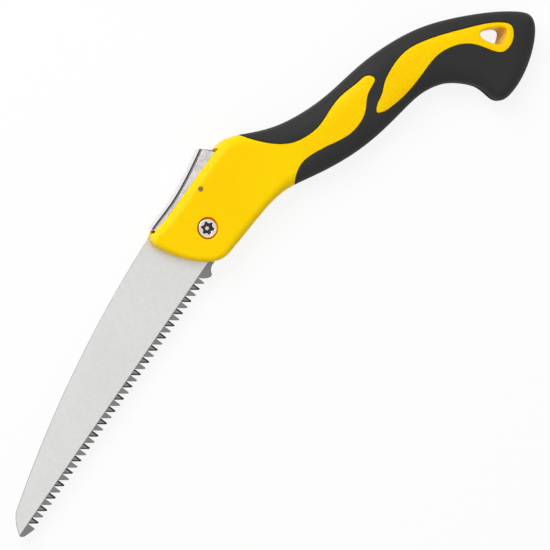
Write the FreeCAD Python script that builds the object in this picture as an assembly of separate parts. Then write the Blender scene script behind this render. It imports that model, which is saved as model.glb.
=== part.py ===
"""Folding pruning saw with a curved two-colour handle and a thumb lever lock, in millimetres.

The saw is drawn about its pivot: the open blade points along -X with its teeth facing -Y, and
+Z is the side that the pivot screw goes in from. At the end every piece is moved together so
that the origin is at the middle of the saw's footprint, with the saw lying on its -Z cheek.
"""
import FreeCAD, Part

import math
import os

# ---- Driving dimensions ----------------------------------------------------------------------
handle_thickness = 19.0        # across the two flat cheeks
skin = 2.0                     # soft grip over the hard core
groove = 0.3                   # open between the soft grip's edge and the core's wall
grip_lip = 0.5                 # rounding of the soft grip along the groove
core_lip = 0.35                # rounding of the core along the groove
lanyard_lip = 1.4
recess_lip = 0.4               # round the mouths of the screw's and the nut's recesses

blade_thickness = 1.3
tooth_pitch = 4.12
tooth_count = 41
tooth_depth = 4.7
tooth_line = 17.5              # pivot down to the line of tooth tips
first_tooth = 24.7             # pivot to the first tooth tip, along the blade
nose_length = 8.0              # last tooth tip to the end of the blade
heel_spine = 22.6              # pivot up to the blade's back, just outside the head
middle_spine = 14.3            # the same, half way along the blade
nose_spine = -3.9              # the same, where the nose starts to round off
fold_angle = 151.0             # open to folded

bushing_diameter = 8.0
screw_diameter = 5.0
screw_head_diameter = 11.0
screw_head_height = 2.6
screw_head_rounding = 0.9
drive_core_diameter = 5.2      # six-lobed drive in the head, inside its lobes
drive_lobe_diameter = 1.6
drive_depth = 1.6
screw_recess = 1.4             # cheek down to the top of the screw head
recess_diameter = 12.6
lock_washer_diameter = 9.4
lock_washer_height = 1.2
lock_washer_gap = 1.0
lock_washer_slant = 20.0
nut_across_flats = 8.0
nut_height = 4.0
nut_recess = 1.0
washer_diameter = 16.0
washer_thickness = 0.5

lever_width = 11.0
lever_sheet = 1.2
lever_bend = 1.6               # outer radius where the web turns into the flanges
fulcrum_x = 15.0               # pivot to the lever's own pin
fulcrum_y = 16.1
fulcrum_pin_diameter = 3.0
fulcrum_boss = 3.3             # metal round the fulcrum pin's centre
latch_pin_diameter = 4.0
latch_boss = 3.4
latch_angle = 115.0            # where the latch pin rides on the tang, from +X
locked_travel = 4.0            # degrees from the free position down into a notch
pressed_travel = 3.5           # degrees from the free position with the thumb end pressed
spring_diameter = 5.0
spring_wire = 0.7
spring_turns = 6.5
spring_x = 27.0
spring_seat = 12.5

# ---- Clearances ------------------------------------------------------------------------------
running_fit = 0.05             # radius, for a part that turns on another
screw_fit = 0.15               # radius, for the screw in what it only passes through
washer_play = 0.05             # blade face to washer
pin_recess = 0.6               # cheek down to the end of the fulcrum pin
latch_lift = 0.3               # latch pin clear of the tang in the free position
notch_play = 0.25              # radius, latch pin in its notch
tang_play = 0.8                # tang to the floor of the blade slot
tang_to_fulcrum = 1.0
shoulder_turn = 7.0            # degrees on from the latch pin to the tang's shoulder
shoulder_height = 4.0
blade_end_play = 1.8           # blade nose to the end of the slot
channel_play = 0.4             # each side of the lever
spring_play = 0.4

# ---- Worked out from them --------------------------------------------------------------------
half_thickness = handle_thickness / 2
blade_half = blade_thickness / 2
slot_half = blade_half + washer_play + washer_thickness
blade_reach = first_tooth + (tooth_count - 1) * tooth_pitch + nose_length
slot_reach = blade_reach + blade_end_play
tang_radius = math.hypot(fulcrum_x, fulcrum_y) - fulcrum_pin_diameter / 2 - tang_to_fulcrum
slot_floor = tang_radius + tang_play
lever_half = lever_width / 2
channel_half = lever_half + channel_play
screw_seat = half_thickness - screw_recess - screw_head_height - lock_washer_height
tall = 3 * handle_thickness    # reaches past the handle both ways, for cutting tools
edge_match = 0.002             # how near an edge lies to the surfaces that made it
least_roll = 0.3               # rounded edge that is left where the form is shrunk

fold_x = -math.cos(math.radians(fold_angle))     # direction of the folded blade
fold_y = -math.sin(math.radians(fold_angle))

head_end = 30.0                # beyond this, along the folded blade, the grip follows its reach
drawn_slot_reach = 199.3       # the slot reach that the grip's outline is drawn for
grip_stretch = (slot_reach - head_end) / (drawn_slot_reach - head_end)


def vector(x, y, z=0.0):
    return FreeCAD.Vector(x, y, z)


def on_grip(x, y):
    """A point of the handle, carried along the folded blade when the blade's reach changes."""
    along = x * fold_x + y * fold_y
    extra = max(0.0, along - head_end) * (grip_stretch - 1.0)
    return vector(x + extra * fold_x, y + extra * fold_y)


def turned(point, angle, centre=(0.0, 0.0)):
    """A point turned counter-clockwise about a centre, in degrees."""
    c, s = math.cos(math.radians(angle)), math.sin(math.radians(angle))
    dx, dy = point[0] - centre[0], point[1] - centre[1]
    return centre[0] + c * dx - s * dy, centre[1] + s * dx + c * dy


def polar(radius, angle):
    return radius * math.cos(math.radians(angle)), radius * math.sin(math.radians(angle))


def cylinder(radius, low, high, x=0.0, y=0.0):
    return Part.makeCylinder(radius, high - low, vector(x, y, low))


def prism(points, low, high):
    """A straight-sided plate from a list of (x, y) corners."""
    corners = [vector(x, y, low) for x, y in points]
    return Part.Face(Part.makePolygon(corners + corners[:1])).extrude(vector(0, 0, high - low))


def nut_blank(across_flats, low, high):
    """A hexagonal prism about the pivot."""
    return prism([polar(across_flats / math.sqrt(3), 30 + 60 * i) for i in range(6)], low, high)


def smooth(points):
    """One smooth edge through the points, left open."""
    curve = Part.BSplineCurve()
    curve.interpolate(points)
    return curve.toShape()


def smooth_prism(points, low, high):
    """A plate whose outline is one smooth closed curve through the points."""
    curve = Part.BSplineCurve()
    curve.interpolate(Points=[vector(p.x, p.y, low) for p in points], PeriodicFlag=True)
    return Part.Face(Part.Wire([curve.toShape()])).extrude(vector(0, 0, high - low))


def arc(start, through, end):
    return Part.Arc(vector(*start), vector(*through), vector(*end)).toShape()


def line(start, end):
    return Part.LineSegment(vector(*start), vector(*end)).toShape()


def boss_arc(start, end, centre, radius):
    """The round underside of a boss, between two points on it."""
    mid = ((start[0] + end[0]) / 2 - centre[0], (start[1] + end[1]) / 2 - centre[1])
    scale = radius / math.hypot(*mid)
    return arc(start, (centre[0] + mid[0] * scale, centre[1] + mid[1] * scale), end)


def plate(edges, low, high):
    """A plate from the edges of its outline, drawn in the middle plane."""
    face = Part.Face(Part.Wire(edges))
    face.translate(vector(0, 0, low))
    return face.extrude(vector(0, 0, high - low))


# ---- Handle: outer form ----------------------------------------------------------------------
# x, y, roll (how far the rounded edge reaches in from the outline), flat (how far the side
# wall stays straight above and below the middle plane)
handle_outline = [
    (-24.9, 18.4, 2.5, 7.0), (-24.2, 12.0, 2.5, 7.0), (-21.8, 3.0, 2.5, 7.0),
    (-17.6, -6.6, 2.6, 7.0), (-13.0, -13.4, 3.0, 6.5), (-7.0, -17.6, 4.0, 5.5),
    (2.0, -19.1, 5.0, 4.5), (16.0, -20.3, 5.0, 4.0), (31.0, -21.7, 5.0, 4.0),
    (42.0, -24.2, 6.0, 3.5), (52.0, -28.9, 8.0, 2.5), (66.0, -37.0, 11.0, 1.5),
    (84.0, -45.5, 12.5, 1.5), (104.0, -51.7, 12.5, 1.5), (124.0, -55.6, 12.5, 1.5),
    (137.0, -59.0, 12.5, 1.5), (148.2, -65.8, 12.0, 1.5), (155.6, -75.3, 10.5, 1.5),
    (159.3, -85.0, 9.0, 1.5), (159.1, -94.2, 7.5, 1.5), (161.6, -99.6, 7.5, 1.5),
    (167.6, -101.7, 7.5, 1.5), (177.5, -102.0, 10.0, 1.5), (190.0, -99.8, 12.0, 1.5),
    (201.5, -95.3, 10.5, 1.5), (208.8, -90.0, 7.5, 1.5), (211.2, -84.2, 6.5, 1.5),
    (208.2, -77.3, 8.5, 1.5), (199.4, -66.0, 11.5, 1.5), (185.4, -51.8, 12.5, 1.5),
    (169.4, -38.7, 12.5, 1.5), (151.6, -28.8, 12.5, 1.5), (129.8, -20.9, 12.5, 1.5),
    (107.8, -15.8, 12.5, 1.5), (89.7, -10.1, 12.0, 1.5), (73.6, -2.2, 11.0, 1.5),
    (61.6, 6.9, 9.0, 2.0), (53.2, 14.9, 6.5, 3.0), (46.4, 19.5, 5.5, 4.0),
    (38.5, 20.9, 5.0, 4.0), (20.0, 21.4, 5.0, 4.0), (0.0, 21.8, 5.0, 4.0),
    (-13.0, 22.3, 4.5, 4.5), (-21.4, 22.4, 3.0, 6.0),
]
patch_count = 4                # the rim is made as this many curved patches


def rim_rows(inset):
    """Three rows of points, from the side wall over the rounded edge to the cheek's border."""
    wall = [on_grip(x, y) for x, y, roll, flat in handle_outline]
    rim = Part.BSplineCurve()
    rim.interpolate(Points=wall, PeriodicFlag=True)
    rows = [[], [], []]
    for point, (x, y, roll, flat) in zip(wall, handle_outline):
        tangent = rim.tangent(rim.parameter(point))[0]
        inward = vector(-tangent.y, tangent.x)
        top = half_thickness - inset
        rows[0].append(point + inward * inset + vector(0, 0, flat))
        rows[1].append(point + inward * inset + vector(0, 0, top))
        rows[2].append(point + inward * max(roll, inset + least_roll) + vector(0, 0, top))
    return rows


def handle_form(inset):
    """The handle's whole outer form, or the same form shrunk by an inset."""
    rows = rim_rows(inset)
    count = len(handle_outline)
    even = [i / count for i in range(count + 1)]
    curves = []
    for row in rows:
        curve = Part.BSplineCurve()
        curve.interpolate(Points=row, Parameters=even, PeriodicFlag=True)
        curves.append(curve)
    corner_weight = math.sqrt(0.5)      # makes each rounded edge a true quarter ellipse
    faces = []
    for i in range(patch_count):
        start = even[i * count // patch_count]
        end = even[(i + 1) * count // patch_count]
        spans = []
        for curve in curves:
            span = curve.copy()
            span.segment(start, end)
            spans.append(span)
        poles = list(zip(*[span.getPoles() for span in spans]))
        surface = Part.BSplineSurface()
        surface.buildFromPolesMultsKnots(
            [list(row) for row in poles], spans[0].getMultiplicities(), [3, 3],
            spans[0].getKnots(), [0.0, 1.0], False, False, 3, 2,
            [[1.0, corner_weight, 1.0] for row in poles])
        edge_face = surface.toShape()
        lower_face = edge_face.mirror(vector(0, 0, 0), vector(0, 0, 1))
        wall_top = spans[0].toShape()
        wall_bottom = wall_top.mirror(vector(0, 0, 0), vector(0, 0, 1))
        faces += [edge_face, lower_face, Part.makeRuledSurface(wall_top, wall_bottom)]
    borders = []
    for i in range(patch_count):
        span = curves[2].copy()
        span.segment(even[i * count // patch_count], even[(i + 1) * count // patch_count])
        borders.append(span.toShape())
    cheek = Part.Face(Part.Wire(borders))
    faces += [cheek, cheek.mirror(vector(0, 0, 0), vector(0, 0, 1))]
    shell = Part.Shell(faces)
    shell.sewShape()
    return Part.Solid(shell)


# ---- Handle: where the hard yellow core shows through the soft grip ---------------------------
front_flame = [
    (51.6, 25.0), (52.8, 16.0), (54.3, 9.8), (57.3, 2.0), (61.5, -5.5), (67.0, -11.8),
    (74.0, -16.0), (83.0, -18.8), (97.0, -19.0), (108.0, -20.5), (118.0, -23.4), (124.3, -26.3),
    (124.9, -29.2), (119.0, -30.9), (112.5, -32.6), (106.0, -36.0), (99.5, -37.1), (92.0, -36.3),
    (85.5, -33.7), (77.0, -28.9), (70.0, -25.4), (62.0, -22.8), (55.5, -23.3), (51.0, -25.4),
    (48.4, -32.0),
]
rear_flame = [
    (110.3, -41.4), (113.4, -39.5), (120.0, -38.2), (126.0, -35.8), (133.0, -34.5),
    (141.0, -34.4), (150.0, -36.2), (159.0, -40.8), (169.0, -47.8), (181.0, -57.6),
    (190.5, -65.9), (196.0, -72.5), (197.8, -77.5), (195.0, -81.3), (188.0, -83.8),
    (182.5, -82.2), (179.3, -76.5), (177.3, -69.8), (173.5, -62.3), (166.5, -56.0),
    (158.5, -52.2), (149.0, -50.9), (138.0, -50.6), (126.0, -49.1), (116.0, -46.2),
    (111.6, -43.8),
]
# the lanyard hole, a rounded triangle about its own middle
lanyard_x = 187.3
lanyard_y = -73.0
lanyard_hole = [
    (-3.6, 7.6), (-0.6, 6.2), (3.4, 2.2), (6.4, -1.3), (6.8, -3.9), (4.7, -5.6), (1.4, -6.7),
    (-1.2, -6.9), (-2.8, -4.8), (-4.6, -0.6), (-5.6, 3.8), (-5.2, 6.8),
]


def set_aside(points, distance, closed):
    """Points moved to the left of their own line's direction."""
    moved = []
    last = len(points) - 1
    for i, point in enumerate(points):
        before = points[i - 1] if closed or i > 0 else point
        after = points[(i + 1) % len(points)] if closed or i < last else point
        run = (after - before).normalize()
        moved.append(point + vector(-run.y, run.x) * distance)
    return moved


def front_window(margin):
    """The space in front of the soft grip: the head, and the flame that runs back from it,
    larger by a margin."""
    edge = set_aside([on_grip(x, y) for x, y in front_flame], margin, False)
    top, bottom = edge[0], edge[-1]
    front = -blade_reach
    corners = [bottom, vector(bottom.x, -tall), vector(front, -tall), vector(front, tall),
               vector(top.x, tall), top]
    border = [smooth(edge)]
    border += [Part.LineSegment(a, b).toShape() for a, b in zip(corners, corners[1:])]
    return plate(border, -tall, tall)


def rear_window(margin):
    """The space of the rear flame, larger by a margin."""
    edge = set_aside([on_grip(x, y) for x, y in rear_flame], margin, True)
    return smooth_prism(edge, -tall, tall)


def lanyard_cut():
    centre = on_grip(lanyard_x, lanyard_y)
    points = [centre + vector(x, y) for x, y in lanyard_hole]
    return smooth_prism(points, -tall, tall)


def blade_slot():
    """The flat space that the blade folds into: a disc about the pivot, cut off along a floor
    that clears the tang and the teeth, and left open below and in front."""
    disc = cylinder(slot_reach, -slot_half, slot_half)
    beyond = Part.makeBox(3 * slot_reach, slot_reach, tall,
                          vector(-1.5 * slot_reach, slot_floor, -tall / 2))
    beyond.rotate(vector(0, 0, 0), vector(0, 0, 1), fold_angle - 180)
    return disc.cut(beyond)


# ---- Lever: side view of the bent sheet ------------------------------------------------------
lever_top = [(-18.4, 24.9), (-6.0, 24.5), (1.0, 24.4), (10.9, 25.1), (20.9, 26.4), (33.6, 28.6)]
lever_rear = [(36.7, 23.0), (37.6, 21.2), (36.8, 19.2)]
lever_front_foot = 21.6        # lowest point of the flanges at the front end
lever_tab_foot = 23.4          # lowest point of the bent-down front tab
channel_front = -19.8
channel_floor = [(39.7, 17.0), (18.0, 11.9), (12.0, 11.9), (-9.0, 13.4), (-13.0, 14.3)]
channel_front_floor = 18.3

fulcrum = (fulcrum_x, fulcrum_y)
latch_reach = tang_radius + latch_lift + latch_pin_diameter / 2
latch = (latch_reach * math.cos(math.radians(latch_angle)),
         latch_reach * math.sin(math.radians(latch_angle)))


def lever_height_at(x):
    """Height of the lever's top face, straight between the two points on either side."""
    for (x0, y0), (x1, y1) in zip(lever_top, lever_top[1:]):
        if x0 <= x <= x1:
            return y0 + (y1 - y0) * (x - x0) / (x1 - x0)
    return lever_top[-1][1]


def lever_channel():
    """The pocket in the head's top for the lever and its spring."""
    corners = [(channel_front, tall), (channel_front, channel_front_floor)]
    corners += list(reversed(channel_floor)) + [(channel_floor[0][0], tall)]
    channel = prism(corners, -channel_half, channel_half)
    spring_hole = Part.makeCylinder(spring_diameter / 2 + spring_play, tall,
                                    vector(spring_x, spring_seat, 0), vector(0, 1, 0))
    return channel.fuse(spring_hole)


def lip_edges(shape, outer, cutter):
    """The edges that a cutter has left where it meets the handle's outer surface."""
    found = []
    for edge in shape.Edges:
        span = edge.LastParameter - edge.FirstParameter
        spots = [Part.Vertex(edge.valueAt(edge.FirstParameter + span * i / 3)) for i in range(4)]
        if all(outer.distToShape(s)[0] < edge_match and cutter.distToShape(s)[0] < edge_match
               for s in spots):
            found.append(edge)
    return found


def make_handle():
    """The one-piece moulded core, and the soft grip moulded over it."""
    outer = handle_form(0.0)
    skin_of_outer = outer.Shells[0]
    jacket = outer.cut(handle_form(skin))
    lipped = []
    for margin, lip in ((groove, grip_lip), (0.0, core_lip)):
        windows = [front_window(margin), rear_window(margin)]
        piece = jacket.cut(windows)
        if margin == 0.0:
            piece = outer.cut(piece)
        borders = Part.Compound([window.Shells[0] for window in windows])
        lipped.append(piece.makeFillet(lip, lip_edges(piece, skin_of_outer, borders)))
    grip, core = lipped
    seat = cylinder(recess_diameter / 2, screw_seat, tall)
    nut_seat = cylinder(nut_across_flats / math.sqrt(3) + 2 * recess_lip, -tall,
                        nut_recess - half_thickness)
    lanyard = lanyard_cut()
    for cutter, radius in ((lanyard, lanyard_lip), (seat, recess_lip), (nut_seat, recess_lip)):
        core = core.cut(cutter)
        core = core.makeFillet(radius, lip_edges(core, skin_of_outer, cutter.Shells[0]))
    slot = blade_slot()
    nut_pocket = nut_blank(nut_across_flats, -tall, nut_recess + nut_height - half_thickness)
    bore = cylinder(screw_diameter / 2 + screw_fit, -tall, tall)
    pin_hole = cylinder(fulcrum_pin_diameter / 2, -tall, tall, *fulcrum)
    core = core.cut([slot, lever_channel(), nut_pocket, bore, pin_hole])
    return core, grip.cut(slot)


# ---- Pivot -----------------------------------------------------------------------------------
def make_pivot_screw():
    """Round-headed machine screw with a six-lobed drive."""
    head_low = screw_seat + lock_washer_height
    head_high = head_low + screw_head_height
    head = cylinder(screw_head_diameter / 2, head_low, head_high)
    rim = [edge for edge in head.Edges if abs(edge.BoundBox.ZMin - head_high) < 1e-6]
    head = head.makeFillet(screw_head_rounding, rim)
    shank = cylinder(screw_diameter / 2, nut_recess - half_thickness, head_low)
    drive = cylinder(drive_core_diameter / 2, head_high - drive_depth, tall)
    for i in range(6):
        spot = polar(drive_core_diameter / 2, 60 * i)
        drive = drive.fuse(cylinder(drive_lobe_diameter / 2, head_high - drive_depth, tall, *spot))
    return head.fuse(shank).cut(drive).removeSplitter()


def make_pivot_nut():
    """Hexagon nut, held from turning by its pocket in the far cheek."""
    top = nut_recess + nut_height - half_thickness
    nut = nut_blank(nut_across_flats, nut_recess - half_thickness, top)
    return nut.cut(cylinder(screw_diameter / 2, -tall, tall))


def make_spring_washer():
    """Split lock washer under the screw head."""
    ring = cylinder(lock_washer_diameter / 2, screw_seat, screw_seat + lock_washer_height)
    gap = Part.makeBox(lock_washer_diameter, lock_washer_gap, tall,
                       vector(0, -lock_washer_gap / 2, -tall / 2))
    gap.rotate(vector(0, 0, screw_seat), vector(1, 0, 0), lock_washer_slant)
    return ring.cut(cylinder(screw_diameter / 2 + screw_fit, -tall, tall)).cut(gap)


def make_pivot_bushing():
    """Steel sleeve that the tang turns on, as long as the slot is wide."""
    sleeve = cylinder(bushing_diameter / 2, -slot_half, slot_half)
    return sleeve.cut(cylinder(screw_diameter / 2 + screw_fit, -tall, tall))


def make_blade_washer(side):
    """Thin washer between the tang and one wall of the slot."""
    near = side * slot_half
    far = side * (slot_half - washer_thickness)
    ring = cylinder(washer_diameter / 2, min(near, far), max(near, far))
    return ring.cut(cylinder(bushing_diameter / 2 + running_fit, -tall, tall))


# ---- Blade -----------------------------------------------------------------------------------
# one tooth from its back to its gullet: share of the pitch from the tip, share of the depth
tooth_shape = [(-0.42, 0.33), (-0.24, 0.10), (-0.14, 0.0), (0.05, 0.0), (0.08, 1.0)]
back_points = 2
# the raked nose, from the end of the blade, and from the pivot's height
nose_shape = {"start": (9.6, nose_spine), "round": (4.2, -8.0), "point": (0.0, -13.6),
              "foot": (1.4, -15.3)}
# the humped heel, each point from the one before it, and from the line of tooth tips
heel_shape = {"rise": (1.9, 1.2), "hump": (4.3, -1.0), "hump_end": (1.8, -1.0),
              "hollow": (2.0, 1.2), "under_head": (6.0, 1.9)}
heel_start = (-25.0, heel_spine)
tang_foot_angle = -60.0
step_rise = 0.2                # the tang's step in front of the lever's pocket
step_run = 1.6
notch_cuts = 5                 # a notch is cut at this many positions of the latch pin


def tooth_corners():
    """Corners from the last tooth to the first: a long back, a blunt tip, a steep face."""
    corners = []
    for i in reversed(range(tooth_count)):
        tip = -(first_tooth + i * tooth_pitch)
        shape = tooth_shape[back_points:] if i == tooth_count - 1 else tooth_shape
        corners += [(tip + along * tooth_pitch, depth * tooth_depth - tooth_line)
                    for along, depth in shape]
    return corners


def from_nose(name):
    return nose_shape[name][0] - blade_reach, nose_shape[name][1]


def from_heel(previous, name):
    run, height = heel_shape[name]
    return previous[0] + run, height - tooth_line


def make_blade():
    """Flat blade: arched back, raked nose, teeth, humped heel, and a round tang with a shoulder
    and two notches for the latch pin, one for the open blade and one for the folded one."""
    nose_start = from_nose("start")
    nose_point = from_nose("point")
    nose_foot = from_nose("foot")
    middle = ((nose_start[0] + heel_start[0]) / 2, middle_spine)
    teeth = tooth_corners()
    edges = [arc(heel_start, middle, nose_start),
             arc(nose_start, from_nose("round"), nose_point),
             line(nose_point, nose_foot), line(nose_foot, teeth[0])]
    edges += [line(a, b) for a, b in zip(teeth, teeth[1:])]
    gullet = teeth[-1]
    hump = from_heel(gullet, "hump")
    hump_end = from_heel(hump, "hump_end")
    under_head = from_heel(hump_end, "under_head")
    tang_foot = polar(tang_radius, tang_foot_angle)
    tang_middle = polar(tang_radius, (tang_foot_angle + latch_angle) / 2)
    shoulder_foot = polar(tang_radius, latch_angle + shoulder_turn)
    shoulder = polar(tang_radius + shoulder_height, latch_angle + shoulder_turn)
    step = (channel_front - step_rise, shoulder[1] + step_rise)
    step_top = (step[0] - step_run, heel_spine)
    edges += [arc(gullet, from_heel(gullet, "rise"), hump), line(hump, hump_end),
              arc(hump_end, from_heel(hump_end, "hollow"), under_head),
              line(under_head, tang_foot), arc(tang_foot, tang_middle, shoulder_foot),
              line(shoulder_foot, shoulder), line(shoulder, step), line(step, step_top),
              line(step_top, heel_start)]
    blade = plate(edges, -blade_half, blade_half)
    cuts = [cylinder(bushing_diameter / 2 + running_fit, -tall, tall)]
    for blade_turn in (0.0, -fold_angle):
        for i in range(notch_cuts):
            down = locked_travel * i / (notch_cuts - 1)
            seat = turned(turned(latch, down, fulcrum), blade_turn)
            cuts.append(cylinder(latch_pin_diameter / 2 + notch_play, -tall, tall, *seat))
    return blade.cut(cuts)


# ---- Lever, its pins and its spring -----------------------------------------------------------
def tangent_pair(start, centre, radius):
    """Where a line from a point touches the underside of a round boss."""
    dx, dy = centre[0] - start[0], centre[1] - start[1]
    distance = math.hypot(dx, dy)
    swing = math.asin(radius / distance)
    heading = math.atan2(dy, dx) + (swing if dx < 0 else -swing)
    length = math.sqrt(distance ** 2 - radius ** 2)
    return start[0] + length * math.cos(heading), start[1] + length * math.sin(heading)


def make_lock_lever():
    """Thumb lever bent from sheet: a web on top, two flanges and a small tab at the front."""
    front_foot = (lever_top[0][0], lever_front_foot)
    rear_touch = tangent_pair(lever_rear[-1], fulcrum, fulcrum_boss)
    front_touch = tangent_pair(front_foot, latch, latch_boss)
    drop = math.atan2(fulcrum[1] - latch[1], fulcrum[0] - latch[0])
    under = (math.sin(drop), -math.cos(drop))
    fulcrum_low = (fulcrum[0] + fulcrum_boss * under[0], fulcrum[1] + fulcrum_boss * under[1])
    latch_low = (latch[0] + latch_boss * under[0], latch[1] + latch_boss * under[1])
    side = [smooth([vector(x, y) for x, y in lever_top])]
    corners = [lever_top[-1]] + lever_rear + [rear_touch]
    side += [line(a, b) for a, b in zip(corners, corners[1:])]
    side += [boss_arc(rear_touch, fulcrum_low, fulcrum, fulcrum_boss),
             line(fulcrum_low, latch_low),
             boss_arc(latch_low, front_touch, latch, latch_boss),
             line(front_touch, front_foot), line(front_foot, lever_top[0])]
    blank = plate(side, -lever_half, lever_half)
    lowest_web = min(y for x, y in lever_top) - lever_sheet
    bends = [edge for edge in blank.Edges
             if edge.BoundBox.ZLength < edge_match and edge.BoundBox.YMin > lowest_web]
    blank = blank.makeFillet(lever_bend, bends)
    inside_top = [(x, y - lever_sheet) for x, y in lever_top]
    inside_top[0] = (lever_top[0][0] + lever_sheet, lever_top[0][1] - lever_sheet)
    rear = lever_rear[0][0] + lever_sheet
    inside_top.append((2 * rear - lever_top[-1][0], lever_top[-1][1]))
    tab = [inside_top[0], (inside_top[0][0], lever_tab_foot), (-tall, lever_tab_foot),
           (-tall, -tall), (inside_top[-1][0], -tall), inside_top[-1]]
    inside = [smooth([vector(x, y) for x, y in inside_top])]
    inside += [line(a, b) for a, b in zip(tab, tab[1:])]
    hollow = plate(inside, lever_sheet - lever_half, lever_half - lever_sheet)
    pin_hole = cylinder(fulcrum_pin_diameter / 2 + running_fit, -tall, tall, *fulcrum)
    latch_hole = cylinder(latch_pin_diameter / 2, -tall, tall, *latch)
    return blank.cut([hollow, pin_hole, latch_hole])


def make_lever_pin():
    length = half_thickness - pin_recess
    return cylinder(fulcrum_pin_diameter / 2, -length, length, *fulcrum)


def make_latch_pin():
    return cylinder(latch_pin_diameter / 2, -lever_half, lever_half, *latch)


def make_lever_spring():
    """Compression spring between the floor of its pocket and the underside of the thumb end."""
    radius = (spring_diameter - spring_wire) / 2
    web_low = lever_height_at(spring_x - spring_diameter / 2) - lever_sheet
    height = web_low - spring_seat - spring_wire - 2 * washer_play
    helix = Part.makeHelix(height / spring_turns, height, radius)
    wire = Part.Wire(helix.Edges)
    section = Part.Wire([Part.Circle(vector(radius, 0, 0), vector(0, 1, 0),
                                     spring_wire / 2).toShape()])
    coil = wire.makePipeShell([section], True, True)
    coil.rotate(vector(0, 0, 0), vector(1, 0, 0), -90)
    coil.translate(vector(spring_x, spring_seat + spring_wire / 2 + washer_play, 0))
    return coil


# ---- All pieces ------------------------------------------------------------------------------
handle_core, grip_overmould = make_handle()
pieces = {
    "handle_core": handle_core,
    "grip_overmould": grip_overmould,
    "pivot_screw": make_pivot_screw(),
    "pivot_nut": make_pivot_nut(),
    "pivot_bushing": make_pivot_bushing(),
    "spring_washer": make_spring_washer(),
    "blade_washer_front": make_blade_washer(1),
    "blade_washer_back": make_blade_washer(-1),
    "blade": make_blade(),
    "lock_lever": make_lock_lever(),
    "latch_pin": make_latch_pin(),
    "lever_pin": make_lever_pin(),
    "lever_spring": make_lever_spring(),
}

# the origin: middle of the saw's footprint, at the height of the cheek it lies on
whole = Part.Compound(list(pieces.values())).optimalBoundingBox(False, False)
to_origin = vector(-(whole.XMin + whole.XMax) / 2, -(whole.YMin + whole.YMax) / 2, -whole.ZMin)

os.makedirs("parts", exist_ok=True)
for name, piece in pieces.items():
    piece.translate(to_origin)
    piece.exportStep(f"parts/{name}.step")
    box = piece.optimalBoundingBox(False, False)
    print(f"{name:20s} {len(piece.Solids)} solid, {piece.Volume:10.1f} mm3, "
          f"valid {piece.isValid()}, z {box.ZMin:.2f} to {box.ZMax:.2f}")
print(f"pivot at x {to_origin.x:.4f}, y {to_origin.y:.4f}, z {to_origin.z:.4f}")
fulcrum_at = vector(*fulcrum) + to_origin
print(f"lever pin at x {fulcrum_at.x:.4f}, y {fulcrum_at.y:.4f}")
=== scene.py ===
"""A folding pruning saw, dressed round its frame, in metres. One section for each piece or group
of like pieces, in the order that the saw is put together, then the table, lamps and camera."""
import math

import bmesh
import bpy
from mathutils import Matrix, Vector


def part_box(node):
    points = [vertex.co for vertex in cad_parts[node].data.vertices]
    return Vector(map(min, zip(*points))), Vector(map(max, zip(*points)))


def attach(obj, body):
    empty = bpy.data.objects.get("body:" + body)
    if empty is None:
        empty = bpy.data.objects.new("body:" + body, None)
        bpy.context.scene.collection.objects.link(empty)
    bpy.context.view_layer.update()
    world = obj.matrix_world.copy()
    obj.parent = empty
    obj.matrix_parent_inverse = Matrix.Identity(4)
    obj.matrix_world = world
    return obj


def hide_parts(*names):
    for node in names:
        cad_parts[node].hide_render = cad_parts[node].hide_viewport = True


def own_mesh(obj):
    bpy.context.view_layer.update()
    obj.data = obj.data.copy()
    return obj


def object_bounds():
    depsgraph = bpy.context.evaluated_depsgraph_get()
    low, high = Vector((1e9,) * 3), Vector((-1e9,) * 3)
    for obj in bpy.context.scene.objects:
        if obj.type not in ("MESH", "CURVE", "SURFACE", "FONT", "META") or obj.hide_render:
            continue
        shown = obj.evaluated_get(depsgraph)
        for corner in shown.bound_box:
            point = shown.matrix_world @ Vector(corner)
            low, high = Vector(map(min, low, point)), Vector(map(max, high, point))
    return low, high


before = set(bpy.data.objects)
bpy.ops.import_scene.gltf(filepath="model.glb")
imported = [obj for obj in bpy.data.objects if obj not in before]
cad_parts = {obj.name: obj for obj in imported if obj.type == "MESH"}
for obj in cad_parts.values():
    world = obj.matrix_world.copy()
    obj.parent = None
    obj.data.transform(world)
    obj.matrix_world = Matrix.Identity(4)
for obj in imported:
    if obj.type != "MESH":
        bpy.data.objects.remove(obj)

cad_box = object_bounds()
mm = 0.001
bushing_low, bushing_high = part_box("pivot_bushing")
pivot = (bushing_low + bushing_high) / 2


# ---- Handle core -----------------------------------------------------------------------------
# The core is one injection moulding in glossy yellow polypropylene, with the blade slot, the
# lever's pocket and the two recesses moulded in. Its surface has the faint ripple of a
# polished mould. An orange glow is painted on the wall of the screw's recess as emission:
# painted light standing in for light that comes through the plastic there.
class Value:
    """One socket of a finish, so that a pattern is written as plain sums."""

    def __init__(self, finish, socket):
        self.finish = finish
        self.socket = socket

    def sum_of(self, operation, first, second):
        return self.finish.node("Math", {"operation": operation}, {0: first, 1: second})

    def __add__(self, other):
        return self.sum_of("ADD", self, other)

    def __sub__(self, other):
        return self.sum_of("SUBTRACT", self, other)

    def __rsub__(self, other):
        return self.sum_of("SUBTRACT", other, self)

    def __mul__(self, other):
        return self.sum_of("MULTIPLY", self, other)

    __radd__ = __add__
    __rmul__ = __mul__


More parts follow.
